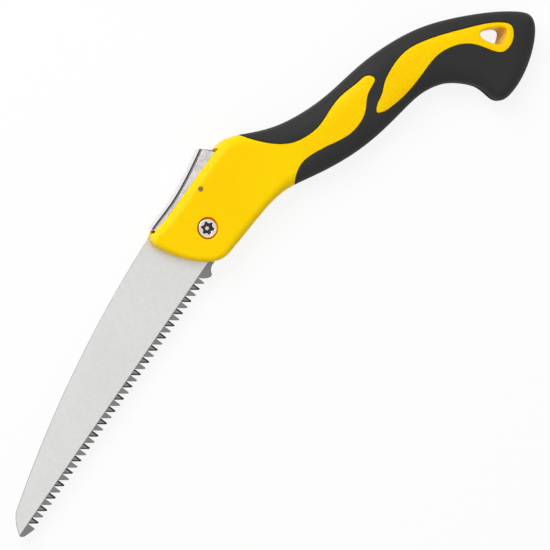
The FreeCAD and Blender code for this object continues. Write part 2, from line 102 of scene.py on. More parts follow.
class Finish:
    """A material with its node tree: constants go on the shader, patterns are added to it."""

    def __init__(self, name, constants):
        self.material = bpy.data.materials.new(name)
        self.material.use_nodes = True
        self.tree = self.material.node_tree
        self.shader = self.tree.nodes["Principled BSDF"]
        for socket, value in constants.items():
            self.shader.inputs[socket].default_value = value
        self.place = self.node("TexCoord", output="Object")

    def node(self, kind, settings=None, inputs=None, output=0):
        made = self.tree.nodes.new("ShaderNode" + kind)
        settings = dict(settings or {})
        stops = settings.pop("stops", [])
        for name, value in settings.items():
            setattr(made, name, value)
        for i, (position, colour) in enumerate(stops):
            stop = made.color_ramp.elements[i] if i < 2 else made.color_ramp.elements.new(position)
            stop.position, stop.color = position, colour
        for key, value in (inputs or {}).items():
            if isinstance(value, Value):
                self.tree.links.new(value.socket, made.inputs[key])
            else:
                made.inputs[key].default_value = value
        return Value(self, made.outputs[output])

    def noise(self, scale, detail=2.0, place=None):
        """Cloudy variation about 0.5, with so many features to the metre."""
        return self.node("TexNoise", {}, {"Vector": place or self.place, "Scale": scale,
                                          "Detail": detail})

    def stretched(self, across, turn=0.0):
        """Object coordinates turned about Z and scaled, for marks that run one way."""
        return self.node("Mapping", {}, {"Vector": self.place, "Rotation": (0.0, 0.0, turn),
                                         "Scale": across})

    def part_of(self, value, low, high):
        """0 below low, 1 above high, smooth in between."""
        return self.node("MapRange", {"interpolation_type": "SMOOTHSTEP"},
                         {"Value": value, "From Min": low, "From Max": high})

    def between(self, share, first, second):
        """A colour on the way from the first to the second."""
        return self.node("Mix", {"data_type": "RGBA"}, {0: share, 6: first, 7: second}, 2)

    def coat(self, **patterns):
        """Links patterns to the shader; Height goes in through a Bump node."""
        height = patterns.pop("Height", None)
        for socket, value in patterns.items():
            self.tree.links.new(value.socket, self.shader.inputs[socket.replace("_", " ")])
        if height:
            value, depth = height
            bump = self.node("Bump", {}, {"Height": value, "Distance": depth, "Strength": 1.0})
            self.tree.links.new(bump.socket, self.shader.inputs["Normal"])


def shade(red, green, blue):
    """A colour given as 0 to 255, made linear."""
    levels = [((c / 255 + 0.055) / 1.055) ** 2.4 if c > 10 else c / 255 / 12.92
              for c in (red, green, blue)]
    return (*levels, 1.0)


def dress(node, finish):
    """Puts a finish on every face of a piece that the frame brings."""
    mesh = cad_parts[node].data
    mesh.materials.clear()
    mesh.materials.append(finish.material)


yellow = Finish("yellow_plastic", {"IOR": 1.49, "Specular IOR Level": 0.08,
                                   "Emission Strength": 1.0,
                                   "Subsurface Weight": 0.35, "Subsurface Scale": 1.6 * mm,
                                   "Subsurface Radius": (1.0, 0.45, 0.06)})
flow = yellow.noise(14.0)
ripple = yellow.noise(420.0, 3.0)
grain = yellow.noise(3600.0)
recess_radius = 6.35 * mm
recess_lip = 0.3 * mm
in_plan = yellow.node("VectorMath", {"operation": "MULTIPLY"}, {0: yellow.place, 1: (1, 1, 0)})
from_pivot = yellow.node("VectorMath", {"operation": "DISTANCE"},
                         {0: in_plan, 1: (pivot.x, pivot.y, 0)}, "Value")
depth_in = yellow.node("SeparateXYZ", {}, {"Vector": yellow.place}, 2)
in_recess = 1 - yellow.part_of(from_pivot, recess_radius, recess_radius + recess_lip)
# Painted light: an orange emission glow on the recess wall round the screw.
painted_recess_glow = in_recess * yellow.part_of(depth_in, pivot.z + 4 * mm, pivot.z + 7 * mm)
yellow.coat(Emission_Color=yellow.between(painted_recess_glow, shade(0, 0, 0), shade(190, 108, 6)),
            Base_Color=yellow.between(yellow.part_of(flow, 0.35, 0.7), shade(255, 212, 0),
                                      shade(254, 206, 0)),
            Roughness=0.3 + ripple * 0.08 + grain * 0.06,
            Height=(ripple * 0.7 + grain * 0.3, 0.00003))
dress("handle_core", yellow)


# ---- Soft grip -------------------------------------------------------------------------------
# A charcoal thermoplastic rubber, moulded over the core in a second shot so that the core shows
# through in two flames. It is matt, with a fine spark-eroded grain and a trace of bloom.
rubber = Finish("soft_grip", {"IOR": 1.46, "Specular IOR Level": 0.14})
bloom = rubber.noise(30.0, 4.0)
erosion = rubber.noise(5200.0, 3.0)
dimple = rubber.noise(1900.0)
rubber.coat(Base_Color=rubber.between(bloom, shade(42, 42, 43), shade(52, 51, 51)),
            Roughness=0.42 + erosion * 0.2 + bloom * 0.06,
            Height=(erosion * 0.6 + dimple * 0.4, 0.00005))
dress("grip_overmould", rubber)


# ---- Blade -----------------------------------------------------------------------------------
# Spring steel plate, blanked with its tang, arched back and raked nose, ground to a satin face
# and relieved along the toothed edge. The tang's two notches take the latch pin.
blade_half = (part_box("blade")[1].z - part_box("blade")[0].z) / 2
blade_tip = pivot.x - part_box("blade")[0].x
tooth_line = 17.5 * mm
tooth_pitch = 4.12 * mm
tooth_count = 41
tooth_depth = 4.7 * mm
first_tooth = 24.7 * mm
ground_line = 12.6 * mm        # pivot down to the step where the toothed band is ground
band_relief = 0.09 * mm        # how far the band is ground in from each face
edge_break = 0.12 * mm
notch_play = 0.25 * mm         # radius, latch pin in its notch
shoulder_height = 4.0 * mm
tang_radius = 19.505 * mm
bore_radius = 4.05 * mm


def round_through(start, through, end, steps):
    """Points along the circle through three points, both ends in."""
    (ax, ay), (bx, by), (cx, cy) = start, through, end
    d = 2 * (ax * (by - cy) + bx * (cy - ay) + cx * (ay - by))
    ux = ((ax * ax + ay * ay) * (by - cy) + (bx * bx + by * by) * (cy - ay)
          + (cx * cx + cy * cy) * (ay - by)) / d
    uy = ((ax * ax + ay * ay) * (cx - bx) + (bx * bx + by * by) * (ax - cx)
          + (cx * cx + cy * cy) * (bx - ax)) / d
    radius = math.hypot(ax - ux, ay - uy)
    first = math.atan2(ay - uy, ax - ux)
    turn = math.atan2(cy - uy, cx - ux) - first
    middle = (math.atan2(by - uy, bx - ux) - first) % (2 * math.pi)
    turn = turn % (2 * math.pi)
    if middle > turn:
        turn -= 2 * math.pi
    return [(ux + radius * math.cos(first + turn * i / steps),
             uy + radius * math.sin(first + turn * i / steps)) for i in range(steps + 1)]


def swung(point, angle, centre=(0.0, 0.0)):
    """A point turned counter-clockwise about a centre, in degrees."""
    c, s = math.cos(math.radians(angle)), math.sin(math.radians(angle))
    dx, dy = point[0] - centre[0], point[1] - centre[1]
    return centre[0] + c * dx - s * dy, centre[1] + s * dx + c * dy


pin_low, pin_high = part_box("latch_pin")
latch = ((pin_low.x + pin_high.x) / 2 - pivot.x, (pin_low.y + pin_high.y) / 2 - pivot.y)
fulcrum_low, fulcrum_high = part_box("lever_pin")
fulcrum = ((fulcrum_low.x + fulcrum_high.x) / 2 - pivot.x,
           (fulcrum_low.y + fulcrum_high.y) / 2 - pivot.y)
notch_radius = (pin_high.x - pin_low.x) / 2 + notch_play
fold_travel, lever_travel = 151.0, 4.0
notch_cuts = 5                 # a notch is cut at this many positions of the latch pin
notch_seats = [swung(swung(latch, lever_travel * i / (notch_cuts - 1), fulcrum), turn)
               for turn in (0.0, -fold_travel) for i in range(notch_cuts)]


def tang_reach(angle):
    """The tang's radius in one direction, less where a notch is cut in it."""
    reach = tang_radius
    for x, y in notch_seats:
        away = math.hypot(x, y)
        aside = angle - math.atan2(y, x)
        if abs(away * math.sin(aside)) < notch_radius and math.cos(aside) > 0:
            near = away * math.cos(aside)
            near -= math.sqrt(notch_radius ** 2 - (away * math.sin(aside)) ** 2)
            reach = min(reach, near)
    return reach


def shoulder_cut(reach, angle):
    """How far a notch cuts into the tang's shoulder, at a distance from the pivot."""
    cut = 0.0
    for x, y in notch_seats:
        along = x * math.cos(angle) + y * math.sin(angle)
        aside = y * math.cos(angle) - x * math.sin(angle)
        if abs(reach - along) < notch_radius:
            cut = max(cut, aside + math.sqrt(notch_radius ** 2 - (reach - along) ** 2))
    return cut


heel_spine = (-25.0 * mm, 22.6 * mm)
nose_start = (9.6 * mm - blade_tip, -3.9 * mm)
nose_middle = (4.2 * mm - blade_tip, -8.0 * mm)
nose_point = (-blade_tip, -13.6 * mm)
nose_foot = (1.4 * mm - blade_tip, -15.3 * mm)
mid_spine = ((heel_spine[0] + nose_start[0]) / 2, 14.3 * mm)
nose_round = round_through(nose_start, nose_middle, nose_point, 14)
above_band = [p for p in nose_round[1:] if p[1] > -ground_line]
belly = (-11.98 * mm, -15.6 * mm)      # the lower edge, where it goes in under the head
pocket_front = -20.0 * mm      # the tang's step in front of the lever's pocket
step_rise = 0.2 * mm
step_run = 1.6 * mm
tang_steps = 640
foot_angle, shoulder_angle = -60.0, 122.0
plate_outline = round_through(heel_spine, mid_spine, nose_start, 40) + above_band
plate_outline += [(nose_point[0] + 0.6 * mm, -ground_line), (belly[0] - 0.5 * mm, -ground_line),
                  belly]
for i in range(tang_steps + 1):
    angle = math.radians(foot_angle + (shoulder_angle - foot_angle) * i / tang_steps)
    reach = tang_reach(angle)
    plate_outline.append((reach * math.cos(angle), reach * math.sin(angle)))
shoulder = math.radians(shoulder_angle)
shoulder_steps = 50
foot = tang_reach(shoulder)
for i in range(1, shoulder_steps + 1):
    reach = foot + (tang_radius + shoulder_height - foot) * i / shoulder_steps
    cut = shoulder_cut(reach, shoulder)
    plate_outline.append((reach * math.cos(shoulder) - cut * math.sin(shoulder),
                          reach * math.sin(shoulder) + cut * math.cos(shoulder)))
step_end = (pocket_front, plate_outline[-1][1] + step_rise)
plate_outline += [step_end, (step_end[0] - step_run, heel_spine[1])]
bore_sides = 64
bore = [(bore_radius * math.cos(2 * math.pi * i / bore_sides),
         bore_radius * math.sin(2 * math.pi * i / bore_sides)) for i in range(bore_sides)]


def blanked_plate(name, outlines, half, broken_edge):
    """A plate as a press blanks it, its edges broken, from flat outlines about the pivot."""
    curve = bpy.data.curves.new(name, "CURVE")
    curve.dimensions = "2D"
    curve.fill_mode = "BOTH"
    curve.extrude = half - broken_edge
    curve.bevel_depth = broken_edge
    curve.bevel_resolution = 2
    curve.offset = -broken_edge
    for outline in outlines:
        spline = curve.splines.new("POLY")
        spline.points.add(len(outline) - 1)
        for point, (x, y) in zip(spline.points, outline):
            point.co = (x, y, 0.0, 1.0)
        spline.use_cyclic_u = True
    flat = bpy.data.objects.new(name + "_outline", curve)
    bpy.context.scene.collection.objects.link(flat)
    bpy.context.view_layer.update()
    mesh = bpy.data.meshes.new_from_object(flat.evaluated_get(
        bpy.context.evaluated_depsgraph_get()))
    bpy.data.objects.remove(flat)
    mesh.name = name
    work = bmesh.new()
    work.from_mesh(mesh)
    bmesh.ops.remove_doubles(work, verts=work.verts, dist=1e-7)
    bmesh.ops.recalc_face_normals(work, faces=work.faces)
    work.to_mesh(mesh)
    work.free()
    mesh.transform(Matrix.Translation(pivot))
    return mesh


def piece_of(name, mesh, finish, smooth_below=30.0):
    """An object for a finished mesh, smooth but for edges sharper than an angle."""
    mesh.materials.clear()
    mesh.materials.append(finish.material)
    piece = bpy.data.objects.new(name, mesh)
    bpy.context.scene.collection.objects.link(piece)
    mesh.shade_smooth()
    mesh.set_sharp_from_angle(angle=math.radians(smooth_below))
    return piece


satin = Finish("blade_steel", {"Metallic": 1.0, "Roughness": 0.36})
grinding_turn = math.radians(8.0)
lines = satin.noise(1.0, 3.0, satin.stretched((5200.0, 240.0, 900.0), grinding_turn))
mottle = satin.noise(520.0, 4.0)
cloud = satin.noise(26.0)
# The plate's broken edges are painted a darker grey than its faces: painted shade along the edges.
upright = satin.node("SeparateXYZ", {}, {"Vector": satin.node("TexCoord", output="Normal")}, 2)
flat_face = satin.part_of(satin.node("Math", {"operation": "ABSOLUTE"}, {0: upright}), 0.9, 0.99)
ground = satin.between(mottle * 0.45 + cloud * 0.3 + lines * 0.25, shade(212, 212, 211),
                       shade(238, 238, 236))
satin.coat(Base_Color=satin.between(flat_face, shade(120, 120, 120), ground),
           Roughness=0.3 + lines * 0.1 + mottle * 0.1,
           Height=(lines * 0.6 + mottle * 0.4, 0.000012))
plate = piece_of("blade_plate", blanked_plate("blade_plate", [plate_outline, bore], blade_half,
                                              edge_break), satin, 12.0)
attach(plate, "blade")


# ---- Teeth -----------------------------------------------------------------------------------
# Milled along the ground edge and hardened, so they are darker than the plate. They cut on the
# pull: a steep face looks at the handle and a long back at the nose. Each second tooth is filed
# from this side, the others from the far side, and the filed facets are left black.
band_half = blade_half - band_relief
land = 0.22 * mm               # what the file leaves square at a tooth's edge
levels = [-band_half, land - band_half, band_half - land, band_half]
band_top = -ground_line + 0.5 * mm     # inside the plate
gullet_y = tooth_depth - tooth_line
gullet_share = 0.08            # of the pitch, from a tip to the gullet on its steep side
steep_facet = 0.95 * mm
back_facet = 0.88 * mm


class Sheet:
    """Faces gathered from points on four levels, with a mark on the filed ones."""

    def __init__(self, flip=1.0):
        self.flip = flip
        self.points, self.faces, self.filed = [], [], []

    def face(self, corners, filed=0.0):
        """Corners are (flat point, level), counter-clockwise as seen from outside."""
        start = len(self.points)
        self.points += [(x, y, self.flip * levels[level]) for (x, y), level in corners]
        loop = list(range(start, start + len(corners)))
        self.faces.append(loop if self.flip > 0 else loop[::-1])
        self.filed.append(filed)

    def wall(self, edge, tiers=((0, 1), (1, 2), (2, 3))):
        """Upright faces below an outline that runs clockwise as seen from above."""
        for a, b in zip(edge, edge[1:]):
            for low, high in tiers:
                self.face([(b, low), (a, low), (a, high), (b, high)])

    def mesh(self, name):
        made = bpy.data.meshes.new(name)
        made.from_pydata(self.points, [], self.faces)
        mark = made.attributes.new("filed", "FLOAT", "FACE")
        mark.data.foreach_set("value", self.filed)
        return made


def tooth_mesh(name, flip):
    """One pitch of the toothed band, about its own tip, filed on the face that flip gives."""
    p, d = tooth_pitch, tooth_depth
    outer = [(gullet_share * p, gullet_y), (0.05 * p, -tooth_line), (-0.14 * p, -tooth_line),
             (-0.24 * p, 0.10 * d - tooth_line), (-0.42 * p, 0.33 * d - tooth_line),
             (-0.64 * p, 0.60 * d - tooth_line), (-0.92 * p, gullet_y)]
    apex = (-0.16 * p, 0.30 * d - tooth_line)
    inner = [(outer[0][0] - steep_facet, gullet_y), apex, apex, apex,
             (-0.27 * p, 0.42 * d - tooth_line), (-0.48 * p, 0.68 * d - tooth_line),
             (outer[6][0] + back_facet, gullet_y)]
    top = [(outer[0][0], band_top), (outer[6][0], band_top)]
    tooth = Sheet(flip)
    tooth.wall(outer, tiers=((0, 1),))
    for a, b, far, near in zip(outer, outer[1:], inner[1:], inner):
        corners = [(b, 1), (a, 1), (near, 3)] + ([(far, 3)] if far != near else [])
        tooth.face(corners, 1.0)
    tooth.face([(outer[0], 1), (outer[0], 2), (outer[0], 3), (inner[0], 3)])
    tooth.face([(outer[6], 3), (outer[6], 2), (outer[6], 1), (inner[6], 3)])
    tooth.face([(p, 3) for p in [top[0], top[1], outer[6], inner[6], inner[5], inner[4], apex,
                                 inner[0], outer[0]]])
    tooth.face([(p, 0) for p in reversed([top[0], top[1]] + outer[:0:-1] + [outer[0]])])
    tooth.wall([top[1], top[0]])
    return tooth.mesh(name)


def end_mesh(name, edge):
    """A plain end of the toothed band: its outline clockwise from above, the last side open
    where the teeth join on."""
    block = Sheet()
    block.wall(edge)
    block.face([(p, 3) for p in reversed(edge)])
    block.face([(p, 0) for p in edge])
    return block.mesh(name)


def socket_id(tree, name):
    """The identifier of a named input of a node group."""
    return next(s.identifier for s in tree.interface.items_tree
                if s.item_type == "SOCKET" and s.in_out == "INPUT" and s.name == name)


def node_group(name, inputs):
    """An empty geometry tree with named inputs, as (tree, its input node, its output node)."""
    tree = bpy.data.node_groups.new(name, "GeometryNodeTree")
    for label, kind in inputs:
        tree.interface.new_socket(label, in_out="INPUT", socket_type="NodeSocket" + kind)
    tree.interface.new_socket("Geometry", in_out="OUTPUT", socket_type="NodeSocketGeometry")
    return tree, tree.nodes.new("NodeGroupInput"), tree.nodes.new("NodeGroupOutput")


def grown(name, tree, values):
    """Runs a geometry tree on an empty piece and returns the plain mesh that it makes."""
    holder = bpy.data.objects.new(name, bpy.data.meshes.new(name + "_seed"))
    bpy.context.scene.collection.objects.link(holder)
    modifier = holder.modifiers.new(name, "NODES")
    modifier.node_group = tree
    for label, value in values.items():
        modifier[socket_id(tree, label)] = value
    mesh = bpy.data.meshes.new_from_object(
        holder.evaluated_get(bpy.context.evaluated_depsgraph_get()))
    bpy.data.objects.remove(holder)
    return mesh


hard = Finish("hardened_teeth", {"Metallic": 1.0, "Roughness": 0.38})
filed = hard.node("Attribute", {"attribute_name": "filed"}, output="Fac")
scale_marks = hard.noise(1.0, 3.0, hard.stretched((900.0, 4200.0, 4200.0)))
smoke = hard.noise(160.0, 3.0)
plain_grey = hard.between(scale_marks * 0.6 + smoke * 0.4, shade(112, 112, 111),
                          shade(150, 150, 149))
facet_grey = hard.between(smoke, shade(34, 34, 36), shade(62, 62, 64))
hard.coat(Base_Color=hard.between(filed, plain_grey, facet_grey),
          Roughness=0.34 + scale_marks * 0.12,
          Height=(scale_marks, 0.00001))

tree, given, result = node_group("row_of_teeth", [
    ("Far Filed Tooth", "Object"), ("Near Filed Tooth", "Object"), ("Teeth", "Int"),
    ("Pitch", "Float"), ("First Tip", "Vector"), ("Material", "Material")])
links, nodes = tree.links, tree.nodes
step = nodes.new("ShaderNodeCombineXYZ")
flipped = nodes.new("ShaderNodeMath")
flipped.operation = "MULTIPLY"
flipped.inputs[1].default_value = -1.0
links.new(given.outputs["Pitch"], flipped.inputs[0])
links.new(flipped.outputs[0], step.inputs["X"])
row = nodes.new("GeometryNodeMeshLine")
links.new(given.outputs["Teeth"], row.inputs["Count"])
links.new(given.outputs["First Tip"], row.inputs["Start Location"])
links.new(step.outputs[0], row.inputs["Offset"])
both = nodes.new("GeometryNodeJoinGeometry")
for label in ("Near Filed Tooth", "Far Filed Tooth"):
    pattern = nodes.new("GeometryNodeObjectInfo")
    pattern.inputs["As Instance"].default_value = True
    links.new(given.outputs[label], pattern.inputs["Object"])
    links.new(pattern.outputs["Geometry"], both.inputs[0])
index = nodes.new("GeometryNodeInputIndex")
odd = nodes.new("ShaderNodeMath")
odd.operation = "MODULO"
odd.inputs[1].default_value = 2.0
links.new(index.outputs[0], odd.inputs[0])
place = nodes.new("GeometryNodeInstanceOnPoints")
place.inputs["Pick Instance"].default_value = True
links.new(row.outputs["Mesh"], place.inputs["Points"])
links.new(both.outputs[0], place.inputs["Instance"])
links.new(odd.outputs[0], place.inputs["Instance Index"])
real = nodes.new("GeometryNodeRealizeInstances")
links.new(place.outputs[0], real.inputs[0])
finish_node = nodes.new("GeometryNodeSetMaterial")
links.new(real.outputs[0], finish_node.inputs["Geometry"])
links.new(given.outputs["Material"], finish_node.inputs["Material"])
links.new(finish_node.outputs[0], result.inputs[0])

patterns = {}
for label, flip in (("Near Filed Tooth", 1.0), ("Far Filed Tooth", -1.0)):
    mesh = tooth_mesh(label.lower().replace(" ", "_"), flip)
    patterns[label] = bpy.data.objects.new(mesh.name, mesh)
    bpy.context.scene.collection.objects.link(patterns[label])
row_mesh = grown("blade_teeth", tree, {
    **patterns, "Teeth": tooth_count - 1, "Pitch": tooth_pitch,
    "First Tip": (-first_tooth, 0.0, 0.0), "Material": hard.material})
for pattern in patterns.values():
    bpy.data.objects.remove(pattern)

last_tip = -first_tooth - (tooth_count - 1) * tooth_pitch
last_gullet = (last_tip + gullet_share * tooth_pitch, gullet_y)
nose_low = [p for p in nose_round if p[1] <= -ground_line]
nose_edge = [last_gullet, (last_tip + 0.05 * tooth_pitch, -tooth_line),
             (last_tip - 0.14 * tooth_pitch, -tooth_line), nose_foot, *reversed(nose_low),
             (nose_low[0][0] + 0.9 * mm, band_top), (last_gullet[0], band_top)]
nose_mesh = end_mesh("nose", nose_edge)

first_gullet = (gullet_share * tooth_pitch - first_tooth, gullet_y)
hump = (first_gullet[0] + 4.3 * mm, -tooth_line - 1.0 * mm)
hump_end = (hump[0] + 1.8 * mm, hump[1])
hump_face = round_through(first_gullet, (first_gullet[0] + 1.9 * mm, -tooth_line + 1.2 * mm),
                          hump, 6)
hump_back = round_through(hump_end, (hump_end[0] + 2.0 * mm, -tooth_line + 1.2 * mm), belly, 8)
heel_edge = [(first_gullet[0], band_top), (belly[0] - 0.5 * mm, band_top), *hump_back[::-1],
             *hump_face[::-1]]
heel_mesh = end_mesh("heel", heel_edge)

work = bmesh.new()
for mesh in (row_mesh, nose_mesh, heel_mesh):
    work.from_mesh(mesh)
bmesh.ops.remove_doubles(work, verts=work.verts, dist=2e-6)
work.to_mesh(row_mesh)
work.free()
row_mesh.transform(Matrix.Translation(pivot))
teeth = piece_of("blade_teeth", row_mesh, hard, 20.0)
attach(teeth, "blade")
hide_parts("blade")


# ---- Pivot sleeve and washers ----------------------------------------------------------------
# A steel sleeve as wide as the slot, which the tang turns on, and a thin steel washer on each
# side of the tang. They are turned and stamped parts, bright from the barrel and oiled.
bright = Finish("plain_steel", {"Metallic": 1.0, "Roughness": 0.32})
turning = bright.noise(1.0, 2.0, bright.stretched((700.0, 700.0, 9000.0)))
oil = bright.noise(240.0, 3.0)
bright.coat(Base_Color=bright.between(oil, shade(176, 174, 170), shade(214, 212, 208)),
            Roughness=0.22 + turning * 0.14 + oil * 0.1,
            Height=(turning, 0.000008))
for node in ("pivot_bushing", "blade_washer_front", "blade_washer_back"):
    dress(node, bright)


# ---- Pivot screw -----------------------------------------------------------------------------
# A bright nickel-plated machine screw: a low pan head with a rounded rim and a deep six-lobed
# drive, and a rolled thread at the end that the nut holds.
screw_low, screw_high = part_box("pivot_screw")
head_radius = (screw_high.x - screw_low.x) / 2
head_top = screw_high.z
head_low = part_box("spring_washer")[1].z
shank_radius = 2.5 * mm
thread_pitch = 0.8 * mm
thread_depth = 0.28 * mm
drive_outer = 3.85 * mm
drive_inner = 2.75 * mm
round_sides = 144


def lathe(name, rings, sides, ringed=False):
    """A turned form about the pivot. A ring is (height, radius), the radius may be a function
    of the angle, and the two ends close in a point unless the rings close on themselves."""
    points, faces = [], []
    for height, radius in rings:
        for i in range(sides):
            angle = 2 * math.pi * i / sides
            reach = radius(angle) if callable(radius) else radius
            points.append((pivot.x + reach * math.cos(angle), pivot.y + reach * math.sin(angle),
                           height(angle) if callable(height) else height))
    count = len(rings)
    for ring in range(count if ringed else count - 1):
        for i in range(sides):
            j = (i + 1) % sides
            a, b = ring * sides, (ring + 1) % count * sides
            faces.append((a + i, a + j, b + j, b + i))
    if not ringed:
        for ring, order in ((0, 1), (count - 1, -1)):
            middle = len(points)
            points.append((pivot.x, pivot.y, rings[ring][0]))
            for i in range(sides):
                a, b = ring * sides + i, ring * sides + (i + 1) % sides
                faces.append((middle, a, b)[::-order])
    mesh = bpy.data.meshes.new(name)
    mesh.from_pydata(points, [], faces)
    work = bmesh.new()
    work.from_mesh(mesh)
    bmesh.ops.recalc_face_normals(work, faces=work.faces)
    work.to_mesh(mesh)
    work.free()
    return mesh


def lobes(share, sunk=0.0):
    """The six-lobed outline of the drive, at a share of its full size."""
    def reach(angle):
        wave = 0.5 + 0.5 * math.cos(6 * angle + 0.5)
        return share * (drive_inner + (drive_outer - drive_inner) * wave ** 1.4) - sunk
    return reach


def thread(height, share):
    """The thread's radius at a height, faded in from the plain shank by a share."""
    def reach(angle):
        turn = (height / thread_pitch + angle / (2 * math.pi)) % 1.0
        return shank_radius - thread_depth * share * abs(2 * turn - 1)
    return reach


drive_depth = 1.55 * mm
drive_floor = head_top - drive_depth
rim = 0.85 * mm
screw_rings = [(drive_floor - 0.25 * mm, 0.3 * mm), (drive_floor - 0.1 * mm, lobes(0.6)),
               (drive_floor, lobes(0.9)), (drive_floor + 0.1 * mm, lobes(0.95)),
               (head_top - 0.22 * mm, lobes(1.0)),
               (head_top - 0.1 * mm, lobes(1.02)),
               (head_top - 0.02 * mm, lobes(1.07)),
               (head_top, lobes(1.12))]
screw_rings.append((head_top - 0.01 * mm, head_radius - rim))
rim_steps = 8
for i in range(1, rim_steps + 1):
    angle = math.pi / 2 * i / rim_steps
    screw_rings.append((head_top - rim * (1 - math.cos(angle)) - 0.01 * mm,
                        head_radius - rim * (1 - math.sin(angle))))
screw_rings += [(head_low + 0.15 * mm, head_radius), (head_low, head_radius - 0.15 * mm),
                (head_low, shank_radius + 0.1 * mm), (head_low - 0.1 * mm, shank_radius)]
thread_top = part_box("pivot_nut")[1].z + 1.5 * mm
thread_low = screw_low.z + 0.35 * mm
thread_rows = 72
for i in range(thread_rows + 1):
    height = thread_top + (thread_low - thread_top) * i / thread_rows
    screw_rings.append((height, thread(height, min(1.0, i / 8))))
screw_rings += [(screw_low.z, shank_radius - 0.55 * mm), (screw_low.z, 0.6 * mm)]
nickel = Finish("plated_steel", {"Metallic": 1.0, "Roughness": 0.16})
haze = nickel.noise(700.0, 4.0)
swirl = nickel.noise(1.0, 2.0, nickel.stretched((2600.0, 2600.0, 300.0)))
height = nickel.node("SeparateXYZ", {}, {"Vector": nickel.place}, 2)
# Painted shade: the walls of the drive are painted a dark brownish grey; the top of the rim and
# the point at the bottom keep the plated colour.
open_to_light = nickel.part_of(height, head_top - 0.45 * mm, head_top - 0.08 * mm)
unshaded_drive_tip = 1 - nickel.part_of(height, drive_floor - 0.22 * mm, drive_floor - 0.15 * mm)
plated_face = nickel.between(haze, shade(226, 220, 218), shade(246, 242, 241))
nickel.coat(Base_Color=nickel.between(open_to_light + unshaded_drive_tip, shade(66, 52, 54), plated_face),
            Roughness=0.12 + haze * 0.1 + swirl * 0.06,
            Height=(swirl * 0.5 + haze * 0.5, 0.000006))
screw = piece_of("pivot_screw_turned", lathe("pivot_screw_turned", screw_rings, round_sides),
                 nickel, 35.0)
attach(screw, "handle")
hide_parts("pivot_screw")


# ---- Lock washer and nut ---------------------------------------------------------------------
# The split washer under the head keeps the screw tight. The nut sits in a hexagonal pocket in
# the far cheek, with both faces chamfered and its thread opened with a countersink.
nut_low, nut_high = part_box("pivot_nut")
half_flat = (nut_high.x - nut_low.x) / 2
chamfer_start = half_flat * 1.02
chamfer_drop = 0.55 * mm


def hexagon(most):
    """A nut's outline, its corners turned down to a radius."""
    def reach(angle):
        aside = (angle + math.pi / 6) % (math.pi / 3) - math.pi / 6
        return min(half_flat / math.cos(aside), most)
    return reach


corner = half_flat / math.cos(math.pi / 6)
chamfer_inner = chamfer_start - 0.25 * mm
nut_rings = [(nut_low.z + 0.4 * mm, shank_radius + 0.02 * mm),
             (nut_low.z, shank_radius + 0.4 * mm), (nut_low.z, chamfer_start - 0.3 * mm)]
chamfer_rows = 5
for i in range(chamfer_rows + 1):
    share = i / chamfer_rows
    turned_to = chamfer_inner + (corner - chamfer_inner) * share
    nut_rings.append((nut_low.z + 0.02 * mm + chamfer_drop * share, hexagon(turned_to)))
middle_count = len(nut_rings)
for height, radius in reversed(nut_rings[:middle_count]):
    nut_rings.append((nut_low.z + nut_high.z - height, radius))
zinc = Finish("zinc_plate", {"Metallic": 1.0, "Roughness": 0.3})
spangle = zinc.noise(900.0, 3.0)
tarnish = zinc.noise(150.0)
zinc.coat(Base_Color=zinc.between(tarnish, shade(186, 186, 190), shade(216, 216, 214)),
          Roughness=0.24 + spangle * 0.14, Height=(spangle, 0.000008))
nut = piece_of("pivot_nut_turned", lathe("pivot_nut_turned", nut_rings, round_sides, True), zinc,
               25.0)
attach(nut, "handle")
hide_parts("pivot_nut")
dress("spring_washer", zinc)


# ---- Lock lever ------------------------------------------------------------------------------
# Bent from 1.2 mm sheet and chromed: a web for the thumb with a flange down each side. The
# flanges are left as rolled under the chrome, so they look mottled. Painted shade darkens the
# two bends, the far bend and a thin line along the flanges' rear end.
chrome = Finish("lever_chrome", {"Metallic": 1.0, "Roughness": 0.2})
facing = chrome.node("TexCoord", output="Normal")
facing_z = chrome.node("SeparateXYZ", {}, {"Vector": facing}, 2)
side_on = chrome.node("Math", {"operation": "ABSOLUTE"}, {0: facing_z})
# Painted shade: the bends, the far bend and a strip at the flanges' rear end are painted dark.
painted_bend_shade = chrome.part_of(side_on, 0.12, 0.3) * (1 - chrome.part_of(side_on, 0.975, 0.998))
flange = chrome.part_of(side_on, 0.975, 0.998)
pits = chrome.noise(1200.0, 5.0)
patches = chrome.noise(210.0, 3.0)
painted_far_bend_shade = 1 - chrome.part_of(facing_z, -0.12, 0.03)
rear_way = Vector((0.91, 0.41, 0.0))
rear_end = max(corner.co.dot(rear_way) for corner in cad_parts["lock_lever"].data.vertices)
rearward = chrome.node("VectorMath", {"operation": "DOT_PRODUCT"}, {0: chrome.place, 1: rear_way},
                       "Value")
painted_rear_edge_shade = flange * chrome.part_of(rearward, rear_end - 0.75 * mm, rear_end - 0.45 * mm)
painted_shade = chrome.node("Math", {"operation": "MAXIMUM"}, {0: painted_bend_shade, 1: painted_rear_edge_shade})
rolled = chrome.between(chrome.part_of(pits * 0.6 + patches * 0.4, 0.36, 0.62),
                        shade(206, 200, 198), shade(246, 241, 239))
plated = chrome.between(patches, shade(236, 236, 238), shade(248, 248, 248))
web = chrome.between(painted_far_bend_shade, plated, shade(86, 86, 94))
chrome.coat(Base_Color=chrome.between(painted_shade, chrome.between(flange, web, rolled),
                                      shade(58, 56, 58)),
            Roughness=0.13 + flange * 0.14 + pits * 0.1,
            Height=(pits * flange, 0.00002))
dress("lock_lever", chrome)


